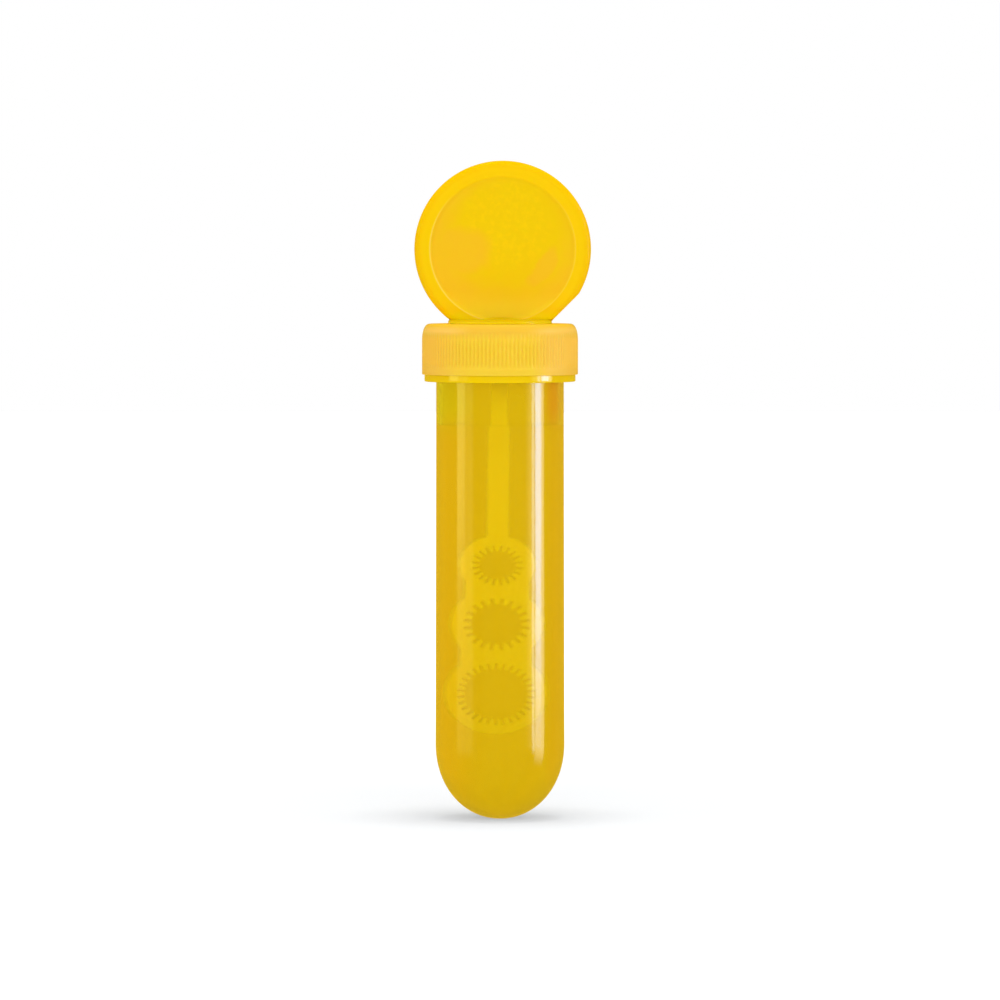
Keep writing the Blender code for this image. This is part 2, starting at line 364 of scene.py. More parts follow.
def floorPaper(look):
    material, tree, output = newMaterial("studioPaper")
    place = objectCoords(tree)
    grain = noise(tree, place, 900.0, 2.0)
    fibres = mapRange(tree, grain, 0.3, 0.7, 0.0, look["fibreShare"])
    colour = mixColours(tree, fibres, look["colour"], look["fibreColour"])
    paper = addNode(tree, "ShaderNodeBsdfDiffuse", Color=colour, Roughness=0.4)
    paths = tree.nodes.new("ShaderNodeLightPath")
    level = mapRange(tree, vectorLength(tree, place), look["nearReach"], look["farReach"],
                     look["glowNear"], look["glowFar"], smooth=True)
    glow = addNode(tree, "ShaderNodeEmission", Color=look["glow"],
                   Strength=maths(tree, "MULTIPLY", paths.outputs["Is Camera Ray"], level))
    both = tree.nodes.new("ShaderNodeAddShader")
    tree.links.new(paper.outputs[0], both.inputs[0])
    tree.links.new(glow.outputs[0], both.inputs[1])
    tree.links.new(both.outputs[0], output.inputs["Surface"])
    return material


def buildFloor(look):
    bm = bmesh.new()
    bmesh.ops.create_grid(bm, x_segments=1, y_segments=1, size=look["halfWidth"],
                          matrix=Matrix.Translation((0, 0, -look["drop"])))
    floor = addPiece("floor", bm, floorPaper(look))
    floor.visible_glossy = False
    floor.visible_transmission = False


buildFloor(floorLook)
print("floor laid")


# Tube: clear yellow, thin walled, round at the bottom, with a flange and a threaded neck under the cap

tubeShape = {
    "steps": 192,
    "domeSteps": 30,
    "wall": 1.2 * mm,
    "bodyRadius": 13.667 * mm,
    "topRadius": 13.507 * mm,
    "bodyHeight": 92.8 * mm,
    "domeHeight": 15.9 * mm,
    "footRadius": 1.8 * mm,
    "flangeRadius": 15.977 * mm,
    "flangeBottom": 92.62 * mm,
    "flangeTop": 94.1 * mm,
    "cornerRound": 0.24 * mm,
    "neckRadius": 13.127 * mm,
    "neckBore": 11.827 * mm,
    "innerRise": 1.0 * mm,
    "rimHeight": 101.5 * mm,
    "innerFootRadius": 1.1 * mm,
    "threadPitch": 3.0 * mm,
    "threadHeight": 0.9 * mm,
    "threadSink": 0.4 * mm,
    "threadRoot": 1.3 * mm,
    "threadTip": 0.6 * mm,
    "threadStart": 95.9 * mm,
    "threadTurns": 1.25,
}

tubeFinish = {
    "colour": (0.945, 0.735, 0.012, 1.0),
    "streakColour": (0.955, 0.755, 0.018, 1.0),
    # Painted light and shade: a lighter tone above the liquid, and other tones on the left and the right
    "topPaintedLight": (0.955, 0.750, 0.012, 1.0),
    "leftPaintedShading": (0.92, 0.775, 0.004, 1.0),
    "rightPaintedShading": (0.965, 0.560, 0.026, 1.0),
    "lowLeftPaintedShading": (1.0, 0.735, 0.016, 1.0),
    # Where these colours set in: by height, then from the middle to the left and to the right
    "topLightRange": (83.0 * mm, 84.0 * mm),
    "highRange": (79.0 * mm, 88.0 * mm),
    "leftRange": (-3.0 * mm, -12.0 * mm),
    "rightRange": (8.8 * mm, 11.6 * mm),
    "lowRightShare": 0.3,
    "rippleDepth": 0.10 * mm,
    "lineDepth": 0.012 * mm,
    "speckDepth": 0.006 * mm,
    "coatRoughness": 0.03,
    "coatIor": 1.6,
    "transmission": 0.88,
    "roughness": 0.13,
    "ior": 1.42,
    "shade": (0.54, 0.54, 0.54, 1.0),
    "flangeColour": (1.0, 0.675, 0.0, 1.0),
    # Painted shade on the flange's sides
    "flangeSidePaintedShade": (0.90, 0.595, 0.002, 1.0),
    "flangeCloudColour": (0.97, 0.64, 0.004, 1.0),
    "flangeSideRange": (4.0 * mm, 13.0 * mm),
    "flangeCoatRoughness": 0.06,
}


def passLamps(tree, surface, shade):
    # Lamp light and scattered light go straight through, so what is inside isn't left dark. A shade darkens
    # only the light that enters the surface from outside.
    leaving = tree.nodes.new("ShaderNodeNewGeometry").outputs["Backfacing"]
    colour = mixColours(tree, leaving, shade, (1, 1, 1, 1))
    through = addNode(tree, "ShaderNodeBsdfTransparent", Color=colour).outputs[0]
    paths = tree.nodes.new("ShaderNodeLightPath")
    scattered = mixShaders(tree, paths.outputs["Is Diffuse Ray"], surface, through)
    return mixShaders(tree, paths.outputs["Is Shadow Ray"], scattered, through)


def clearYellowPlastic(name, look, shade, coat):
    material, tree, output = newMaterial(name)
    streaks = noise(tree, objectCoords(tree, (420, 420, 9)), 1.0, 4.0, 0.55)
    ripple = noise(tree, objectCoords(tree, (70, 70, 22)), 1.0, 2.0)
    specks = noise(tree, objectCoords(tree), 2600.0, 2.0, 0.6)
    drawn = noise(tree, objectCoords(tree, (1100, 1100, 240)), 1.0, 3.0, 0.5)
    colour = mixColours(tree, mapRange(tree, streaks, 0.35, 0.7), look["colour"], look["streakColour"])

    # Painted light and shade: the plastic is painted a little lighter above the liquid,
    # greener on the left and browner on the right, most of all above the liquid
    parts = addNode(tree, "ShaderNodeSeparateXYZ", Vector=objectCoords(tree))
    side, height = parts.outputs["X"], parts.outputs["Z"]
    high = mapRange(tree, height, *look["highRange"], smooth=True)
    colour = mixColours(tree, mapRange(tree, height, *look["topLightRange"]), colour, look["topPaintedLight"])
    onLeft = mapRange(tree, side, *look["leftRange"], smooth=True)
    onRight = mapRange(tree, side, *look["rightRange"], smooth=True)
    leftPaintedShading = mixColours(tree, high, look["lowLeftPaintedShading"], look["leftPaintedShading"])
    colour = mixColours(tree, onLeft, colour, leftPaintedShading)
    right = maths(tree, "MULTIPLY", onRight, maths(tree, "MAXIMUM", high, look["lowRightShare"]))
    colour = mixColours(tree, right, colour, look["rightPaintedShading"])

    # Fine specks lie over the ripple in the plastic, and drawn lines over the ripple in its gloss
    roughness = mapRange(tree, streaks, 0.3, 0.7, look["roughness"] - 0.02, look["roughness"] + 0.02)
    rippled = bump(tree, ripple, 0.25, look["rippleDepth"])
    plastic = addNode(
        tree, "ShaderNodeBsdfPrincipled", Base_Color=colour, Roughness=roughness,
        IOR=look["ior"], Transmission_Weight=look["transmission"],
        Normal=bump(tree, specks, 0.10, look["speckDepth"], rippled),
        Coat_Weight=coat, Coat_Roughness=look["coatRoughness"], Coat_IOR=look["coatIor"],
        Coat_Normal=bump(tree, drawn, 1.0, look["lineDepth"], rippled),
    )
    tree.links.new(passLamps(tree, plastic.outputs[0], shade), output.inputs["Surface"])
    return material


def thickYellowPlastic(look):
    # The flange and the neck are thicker, and scatter the light more than they let it through
    material, tree, output = newMaterial("thickYellowPlastic")
    fine = noise(tree, objectCoords(tree), 1500.0, 3.0, 0.6)
    clouds = noise(tree, objectCoords(tree), 160.0, 3.0)
    colour = mixColours(tree, mapRange(tree, clouds, 0.35, 0.7), look["flangeColour"],
                        look["flangeCloudColour"])
    # Painted shade: the flange is painted darker and more olive towards its sides
    side = addNode(tree, "ShaderNodeSeparateXYZ", Vector=objectCoords(tree)).outputs["X"]
    aside = mapRange(tree, maths(tree, "ABSOLUTE", side), *look["flangeSideRange"], smooth=True)
    colour = mixColours(tree, aside, colour, look["flangeSidePaintedShade"])
    plastic = addNode(
        tree, "ShaderNodeBsdfPrincipled", Base_Color=colour, IOR=1.46,
        Roughness=mapRange(tree, fine, 0.3, 0.7, 0.07, 0.12), Subsurface_Weight=0.2,
        Subsurface_Scale=1.5 * mm, Subsurface_Radius=(1.0, 0.6, 0.05), Coat_Weight=1.0,
        Coat_Roughness=look["flangeCoatRoughness"], Coat_IOR=look["coatIor"],
        Normal=bump(tree, fine, 0.10, 0.006 * mm),
    )
    tree.links.new(plastic.outputs[0], output.inputs["Surface"])
    return material


def domeCurve(radius, height, tipRadius, base, steps, fullness=2.07):
    # Points up a slightly full elliptical dome, from its flat tip to its upright base
    reach = height / (1.0 - (tipRadius / radius) ** fullness) ** (1.0 / fullness)
    start = math.acos((tipRadius / radius) ** (fullness / 2))
    points = []
    for i in range(steps + 1):
        angle = start * (1.0 - i / steps)
        points.append((radius * math.cos(angle) ** (2 / fullness),
                       base - reach * math.sin(angle) ** (2 / fullness)))
    return points


def helixRidge(inner, outer, start, turns, pitch, rootWidth, tipWidth, steps=96):
    # A trapezoid section swept up the thread's helix, closed at both ends
    bm = bmesh.new()
    halfRoot, halfTip = rootWidth / 2, tipWidth / 2
    corners = [(inner, -halfRoot), (outer, -halfTip), (outer, halfTip), (inner, halfRoot)]
    verts = [bm.verts.new((radius, 0.0, start + z)) for radius, z in corners]
    face = bm.faces.new(verts)
    count = round(steps * turns)
    swept = bmesh.ops.spin(bm, geom=[face], axis=(0, 0, 1), cent=(0, 0, 0), angle=math.tau * turns,
                           dvec=(0, 0, pitch * turns / count), steps=count)
    endVerts = [item for item in swept["geom_last"] if isinstance(item, bmesh.types.BMVert)]
    for ends in (verts, endVerts):
        # Each end of the ridge fades into the wall
        middle = sum((vert.co for vert in ends), Vector()) / 4
        inward = Vector((middle.x, middle.y, 0)).normalized() * (inner - outer) * 0.85
        tips = [vert for vert in ends if Vector((vert.co.x, vert.co.y)).length > (inner + outer) / 2]
        bmesh.ops.translate(bm, verts=tips, vec=inward)
    bmesh.ops.recalc_face_normals(bm, faces=bm.faces)
    return bm


def buildTube(shape, finish):
    s = shape
    outside = [(0.0, 0.0)]
    outside += domeCurve(s["bodyRadius"], s["domeHeight"], s["footRadius"], s["domeHeight"],
                         s["domeSteps"])
    outside += [
        (s["topRadius"], s["flangeBottom"] - 0.7 * mm),
        (s["topRadius"], s["flangeBottom"]),
        (s["flangeRadius"], s["flangeBottom"]),
        (s["flangeRadius"], s["flangeBottom"] + 0.45 * mm),
        (s["flangeRadius"], s["flangeTop"]),
        (s["neckRadius"], s["flangeTop"]),
        (s["neckRadius"], s["rimHeight"]),
    ]
    innerRadius = s["bodyRadius"] - s["wall"]
    inside = [(0.0, s["wall"])]
    inside += domeCurve(innerRadius, s["domeHeight"] - s["wall"], s["innerFootRadius"], s["domeHeight"],
                        s["domeSteps"])
    inside += [
        (s["topRadius"] - s["wall"], s["bodyHeight"] + s["innerRise"]),
        (s["topRadius"] - s["wall"], s["bodyHeight"] + 1.4 * mm),
        (s["neckBore"], s["bodyHeight"] + 2.4 * mm),
        (s["neckBore"], s["rimHeight"]),
    ]
    bm = latheBmesh(outside + inside[::-1], s["steps"])
    # The flange's upper edge lies under the cap and stays sharp, and so does the corner where it leaves
    # the body
    corners = []
    for edge in cornerEdges(bm, 40):
        x, y, z = edge.verts[0].co
        atBottom = abs(z - s["flangeBottom"]) < 0.01 * mm
        inCorner = atBottom and math.hypot(x, y) < s["topRadius"] + 0.1 * mm
        if abs(z - s["flangeTop"]) > 0.01 * mm and not inCorner:
            corners.append(edge)
    roundCorners(bm, corners, s["cornerRound"], 3)
    outerPlastic = clearYellowPlastic("clearYellowPlastic", finish, finish["shade"], 1.0)
    tube = addPiece("tubeWall", bm, outerPlastic)
    tube.data.materials.append(thickYellowPlastic(finish))
    tube.data.materials.append(clearYellowPlastic("innerYellowPlastic", finish, (1, 1, 1, 1), 0.0))
    thread = helixRidge(s["neckRadius"] - s["threadSink"], s["neckRadius"] + s["threadHeight"],
                        s["threadStart"], s["threadTurns"], s["threadPitch"], s["threadRoot"],
                        s["threadTip"])
    joinSolid(tube, addPiece("tubeThread", thread, None))
    smoothMesh(tube.data)
    for face in tube.data.polygons:
        # The flange and the outside of the neck are slot 1, and the inner wall is slot 2
        outward = Vector((face.center.x, face.center.y, min(0.0, face.center.z - s["domeHeight"])))
        if face.normal.dot(outward) < -1e-6:
            face.material_index = 2
        elif face.center.z > s["flangeBottom"] - 0.1 * mm:
            face.material_index = 1
        else:
            face.material_index = 0
    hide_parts("tube")
    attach(tube, "tube")


buildTube(tubeShape, tubeFinish)
print("tube turned")


# Bubble liquid: fills the tube to a little under the flange and climbs the wall in a meniscus

liquidShape = {
    "level": 83.5 * mm,
    "overlap": 0.05 * mm,
    "climb": 0.05 * mm,
    "reach": 0.5 * mm,
    "meniscusSteps": 8,
}

liquidFinish = {
    "colour": (1.0, 0.975, 0.90, 1.0),
    "swirlColour": (1.0, 0.99, 0.95, 1.0),
    "roughness": 0.06,
    "ior": 1.335,
    "absorb": (1.0, 0.93, 0.72, 1.0),
    "absorbDensity": 6.0,
}


def soapLiquid(look):
    material, tree, output = newMaterial("bubbleLiquid")
    swirl = noise(tree, objectCoords(tree, (60, 60, 40)), 1.0, 3.0, 0.5, 0.6)
    colour = mixColours(tree, mapRange(tree, swirl, 0.4, 0.7, 0.0, 0.6), look["colour"],
                        look["swirlColour"])
    surface = addNode(tree, "ShaderNodeBsdfPrincipled", Base_Color=colour, Roughness=look["roughness"],
                      IOR=look["ior"], Transmission_Weight=1.0)
    tree.links.new(passLamps(tree, surface.outputs[0], (1, 1, 1, 1)), output.inputs["Surface"])
    absorb = addNode(tree, "ShaderNodeVolumeAbsorption", Color=look["absorb"],
                     Density=look["absorbDensity"])
    tree.links.new(absorb.outputs[0], output.inputs["Volume"])
    return material


def buildLiquid(shape, finish, tube):
    innerRadius = tube["bodyRadius"] - tube["wall"] + shape["overlap"]
    bottom = tube["wall"] - shape["overlap"]
    topInner = tube["topRadius"] - tube["wall"] + shape["overlap"]
    wallTop = tube["bodyHeight"] + tube["innerRise"]
    share = (shape["level"] - tube["domeHeight"]) / (wallTop - tube["domeHeight"])
    wallRadius = innerRadius + (topInner - innerRadius) * share
    profile = [(0.0, bottom)]
    profile += domeCurve(innerRadius, tube["domeHeight"] - bottom, tube["innerFootRadius"],
                         tube["domeHeight"], tube["domeSteps"])
    for i in range(shape["meniscusSteps"] + 1):
        # The surface falls from the wall in a curve that flattens towards the middle
        away = i / shape["meniscusSteps"]
        profile.append((wallRadius - shape["reach"] * away,
                        shape["level"] + shape["climb"] * (1.0 - away) ** 3))
    profile.append((0.0, shape["level"]))
    bm = latheBmesh(profile, tube["steps"])
    liquid = addPiece("bubbleLiquid", bm, soapLiquid(finish), sharp=60)
    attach(liquid, "tube")


buildLiquid(liquidShape, liquidFinish, tubeShape)
print("liquid poured")


# Screw cap: satin, with fine upright ribs round its skirt

capShape = {
    "ribs": 120,
    "ribSegments": 8,
    "ribDepth": 0.22 * mm,
    "ribBottom": 95.95 * mm,
    "ribTop": 103.3 * mm,
    "ribFade": 1.6 * mm,
    "bottom": 94.12 * mm,
    "top": 104.84 * mm,
    "radius": 16.5 * mm,
    "shoulderWidth": 1.65 * mm,
    "shoulderHeight": 3.64 * mm,
    "shoulderFullness": 2.3,
    "bore": 14.327 * mm,
    "ceiling": 103.1 * mm,
    "hole": 9.827 * mm,
    "threadReach": 0.65 * mm,
    "threadSink": 0.4 * mm,
    "threadRoot": 1.2 * mm,
    "threadTip": 0.5 * mm,
    "threadStart": 97.4 * mm,
    "threadTurns": 1.2,
    "threadPitch": 3.0 * mm,
}

capFinish = {
    "colour": (0.990, 0.655, 0.029, 1.0),
    "valleyColour": (0.91, 0.590, 0.016, 1.0),
    "cloudColour": (0.980, 0.625, 0.024, 1.0),
    # Painted light and shade: warmer sides, a paler right, a darker shoulder, a painted sheen and a deeper
    # top
    "sidePaintedShade": (1.0, 0.555, 0.047, 1.0),
    "shoulderPaintedShade": (0.89, 0.535, 0.030, 1.0),
    "paintedSheenColour": (1.0, 0.585, 0.088, 1.0),
    "rightPaintedShading": (1.0, 0.590, 0.066, 1.0),
    "nearFootPaintedShade": (0.96, 0.590, 0.010, 1.0),
    # Where these colours set in: from the middle to both sides, on the right only, by height, and by radius
    "sideRange": (6.0 * mm, 16.0 * mm),
    "rightStart": (6.0 * mm, 12.0 * mm),
    "rightEnd": (15.0 * mm, 12.5 * mm),
    "sheenRange": (5.0 * mm, 11.0 * mm),
    "sheenFoot": (102.4 * mm, 103.3 * mm),
    "sheenTop": (104.4 * mm, 103.7 * mm),
    "nearFootRange": (15.5 * mm, 14.6 * mm),
    "roughness": 0.42,
    "subsurface": 0.25,
    "specular": 0.35,
}


def satinYellowPlastic(look, shape):
    material, tree, output = newMaterial("satinYellowPlastic")
    grain = noise(tree, objectCoords(tree), 3200.0, 3.0, 0.6)
    clouds = noise(tree, objectCoords(tree), 180.0, 3.0)
    colour = mixColours(tree, mapRange(tree, clouds, 0.35, 0.7, 0.0, 0.5), look["colour"],
                        look["cloudColour"])
    parts = addNode(tree, "ShaderNodeSeparateXYZ", Vector=objectCoords(tree))
    side, height = parts.outputs["X"], parts.outputs["Z"]
    aside = maths(tree, "ABSOLUTE", side)
    level = addNode(tree, "ShaderNodeCombineXYZ", X=side, Y=parts.outputs["Y"])
    radius = vectorLength(tree, level.outputs[0])

    # The valleys between the ribs lie in their own shade
    depth = mapRange(tree, radius, shape["radius"], shape["radius"] - shape["ribDepth"])
    onSkirt = mapRange(tree, height, shape["ribTop"] - 1.5 * mm, shape["ribTop"] - 3.0 * mm)
    colour = mixColours(tree, maths(tree, "MULTIPLY", depth, onSkirt), colour, look["valleyColour"])

    # Painted shade and sheen: the skirt is painted warmer on both sides, and paler on the right
    colour = mixColours(tree, mapRange(tree, aside, *look["sideRange"], smooth=True), colour,
                        look["sidePaintedShade"])
    onRight = maths(tree, "MULTIPLY", mapRange(tree, side, *look["rightStart"], smooth=True),
                    mapRange(tree, side, *look["rightEnd"], smooth=True))
    colour = mixColours(tree, onRight, colour, look["rightPaintedShading"])
    # Painted shade: the shoulder is painted darker, against the light from above
    onShoulder = mapRange(tree, height, shape["ribTop"] - 1.6 * mm, shape["ribTop"])
    colour = mixColours(tree, onShoulder, colour, look["shoulderPaintedShade"])

    # A painted sheen lies on the shoulder's left and right, and painted shade deepens the top near the
    # handle's foot
    sheen = mapRange(tree, aside, *look["sheenRange"], smooth=True)
    for border in ("sheenFoot", "sheenTop"):
        sheen = maths(tree, "MULTIPLY", sheen, mapRange(tree, height, *look[border]))
    colour = mixColours(tree, sheen, colour, look["paintedSheenColour"])
    nearFoot = mapRange(tree, radius, *look["nearFootRange"], smooth=True)
    colour = mixColours(tree, maths(tree, "MULTIPLY", onShoulder, nearFoot), colour, look["nearFootPaintedShade"])
    roughness = mapRange(tree, grain, 0.3, 0.7, look["roughness"] - 0.05, look["roughness"] + 0.07)
    plastic = addNode(
        tree, "ShaderNodeBsdfPrincipled", Base_Color=colour, Roughness=roughness, IOR=1.5,
        Subsurface_Weight=look["subsurface"], Subsurface_Scale=1.5 * mm,
        Subsurface_Radius=(1.0, 0.6, 0.1), Specular_IOR_Level=look["specular"],
        Normal=bump(tree, grain, 0.25, 0.012 * mm),
    )
    tree.links.new(plastic.outputs[0], output.inputs["Surface"])
    return material


def buildCap(shape, finish):
    s = shape
    profile = [
        (s["radius"] - 0.12 * mm, s["bottom"]),
        (s["radius"] - 0.03 * mm, s["bottom"] + 0.04 * mm),
        (s["radius"], s["bottom"] + 0.14 * mm),
        (s["radius"], s["bottom"] + 1.35 * mm),
        (s["radius"], s["bottom"] + 1.50 * mm),
    ]
    # Six rows up the skirt, then the shoulder
    skirtFoot, skirtTop = profile[-1][1], s["top"] - s["shoulderHeight"]
    power = 2 / s["shoulderFullness"]
    for i in range(1, 7):
        profile.append((s["radius"], skirtFoot + (skirtTop - skirtFoot) * i / 6))
    for i in range(1, 14):
        angle = math.pi / 2 * i / 14
        profile.append((s["radius"] - s["shoulderWidth"] * (1.0 - math.cos(angle) ** power),
                        skirtTop + s["shoulderHeight"] * math.sin(angle) ** power))
    profile += [
        (s["radius"] - 2.4 * mm, s["top"]),
        (s["hole"] + 0.15 * mm, s["top"]),
        (s["hole"], s["top"] - 0.15 * mm),
        (s["hole"], s["ceiling"]),
        (s["bore"] - 0.3 * mm, s["ceiling"]),
        (s["bore"], s["ceiling"] - 0.3 * mm),
        (s["bore"], s["bottom"] + 0.3 * mm),
        (s["bore"] + 0.3 * mm, s["bottom"]),
    ]
    steps = s["ribs"] * s["ribSegments"]
    bm = latheBmesh(profile, steps, closed=True)

    # Ribs: the valleys between them are pulled in, in a soft wave that runs out on the shoulder
    levels = {}
    for vert in bm.verts:
        radius = math.hypot(vert.co.x, vert.co.y)
        if radius < s["bore"] + 1.0 * mm and vert.co.z < s["ribTop"]:
            continue
        if not s["ribBottom"] - 0.08 * mm < vert.co.z < s["ribTop"]:
            continue
        phase = round(math.atan2(vert.co.y, vert.co.x) / math.tau * steps) % s["ribSegments"]
        fade = min(1.0, (s["ribTop"] - vert.co.z) / s["ribFade"])
        levels.setdefault((phase, round(fade, 2)), []).append(vert)
    for (phase, fade), verts in levels.items():
        wave = (1.0 - math.cos(math.tau * phase / s["ribSegments"])) / 2
        factor = 1.0 - s["ribDepth"] * wave * fade / s["radius"]
        bmesh.ops.scale(bm, vec=(factor, factor, 1.0), verts=verts)
    cap = addPiece("ribbedCap", bm, satinYellowPlastic(finish, s), sharp=50)
    thread = helixRidge(s["bore"] + s["threadSink"], s["bore"] - s["threadReach"], s["threadStart"],
                        s["threadTurns"], s["threadPitch"], s["threadRoot"], s["threadTip"])
    joinSolid(cap, addPiece("capThread", thread, None))
    smoothMesh(cap.data, 50)
    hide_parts("screw_cap")
    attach(cap, "cap")


buildCap(capShape, capFinish)
print("cap ribbed")


# Handle: a glossy translucent disc with a raised rim and a sunk panel on each face, on a low round foot

handleShape = {
    "steps": 192,
    "radius": 18.68 * mm,
    "halfThickness": 2.0 * mm,
    "edgeRound": 1.4 * mm,
    "panelRadius": 15.4 * mm,
    "panelDepth": 0.36 * mm,
    "flankCut": 0.6 * mm,
    "flankAngle": 45.0,
    "centre": (0.569 * mm, 0.0, 120.6 * mm),
    "chordHeight": 105.35 * mm,
    "footRadius": 10.977 * mm,
    "footBottom": 104.86 * mm,
    "footRound": 0.6 * mm,
    "footTop": 105.8 * mm,
    "plugRadius": 9.527 * mm,
    "plugBottom": 98.9 * mm,
    "plugWall": 1.2 * mm,
    "plugRound": 0.2 * mm,
    "bossRadius": 3.891 * mm,
    "socketRoof": 104.5 * mm,
    "socketHalfWidth": 2.0 * mm,
    "socketHalfDepth": 1.8 * mm,
}

handleFinish = {
    "colour": (0.985, 0.630, 0.0, 1.0),
    "panelColour": (0.90, 0.618, 0.0, 1.0),
    # Painted light and shade: warm painted reflections, painted shade at the edge, the crescent and the
    # foot's top, painted light low on the rim and on the foot's side, and a painted highlight line
    "paintedReflectionColour": (0.925, 0.570, 0.011, 1.0),
    "fleckColour": (0.95, 0.645, 0.0, 1.0),
    "edgePaintedShade": (0.92, 0.535, 0.0, 1.0),
    "borderPaintedHighlight": (1.0, 0.73, 0.13, 1.0),
    "lowPaintedReflectionColour": (0.985, 0.690, 0.018, 1.0),
    "lowPaintedShading": (0.985, 0.735, 0.0, 1.0),
    "crescentPaintedShade": (0.90, 0.645, 0.0, 1.0),
    "footSidePaintedLight": (1.0, 0.735, 0.006, 1.0),
    "footTopPaintedShade": (0.655, 0.435, 0.0, 1.0),
    # Spots from the disc's centre in mm: right, up, half width, half height, and turn in degrees
    "oliveSpot": (3.0, 4.8, 13.6, 13.6, 0.0),
    "paintedReflectionSpots": ((-7.6, 1.0, 6.4, 5.4, 0.0), (10.0, -2.4, 1.9, 5.0, 40.0)),
    "fleckSpot": (1.0, 5.5, 9.5, 10.0, 0.0),
    "crescentShadeSpot": (-0.6, -14.9, 4.6, 0.55, 0.0),
    "spotFade": (1.20, 0.70),
    "tornDepth": 3.0 * mm,
    "lowReflectionRange": (-8.0 * mm, -14.0 * mm),
    "lowShadingRange": (-12.5 * mm, -14.8 * mm),
    "lineWidth": (0.22 * mm, 0.04 * mm),
    "lineRange": (12.0 * mm, 4.0 * mm),
    "lineStrength": (0.28, 0.62),
    "specular": 0.14,
}


def softSpot(tree, place, fade, x, z, reachX, reachZ, turn):
    # 1 in the middle of a turned ellipse on the handle's face, fading to 0 round its border
    spot = addNode(tree, "ShaderNodeMapping", Vector=place, Location=(x * mm, 0, z * mm),
                   Rotation=(0, math.radians(turn), 0), Scale=(reachX * mm, mm, reachZ * mm))
    spot.vector_type = "TEXTURE"
    return mapRange(tree, vectorLength(tree, spot.outputs[0]), *fade, smooth=True)


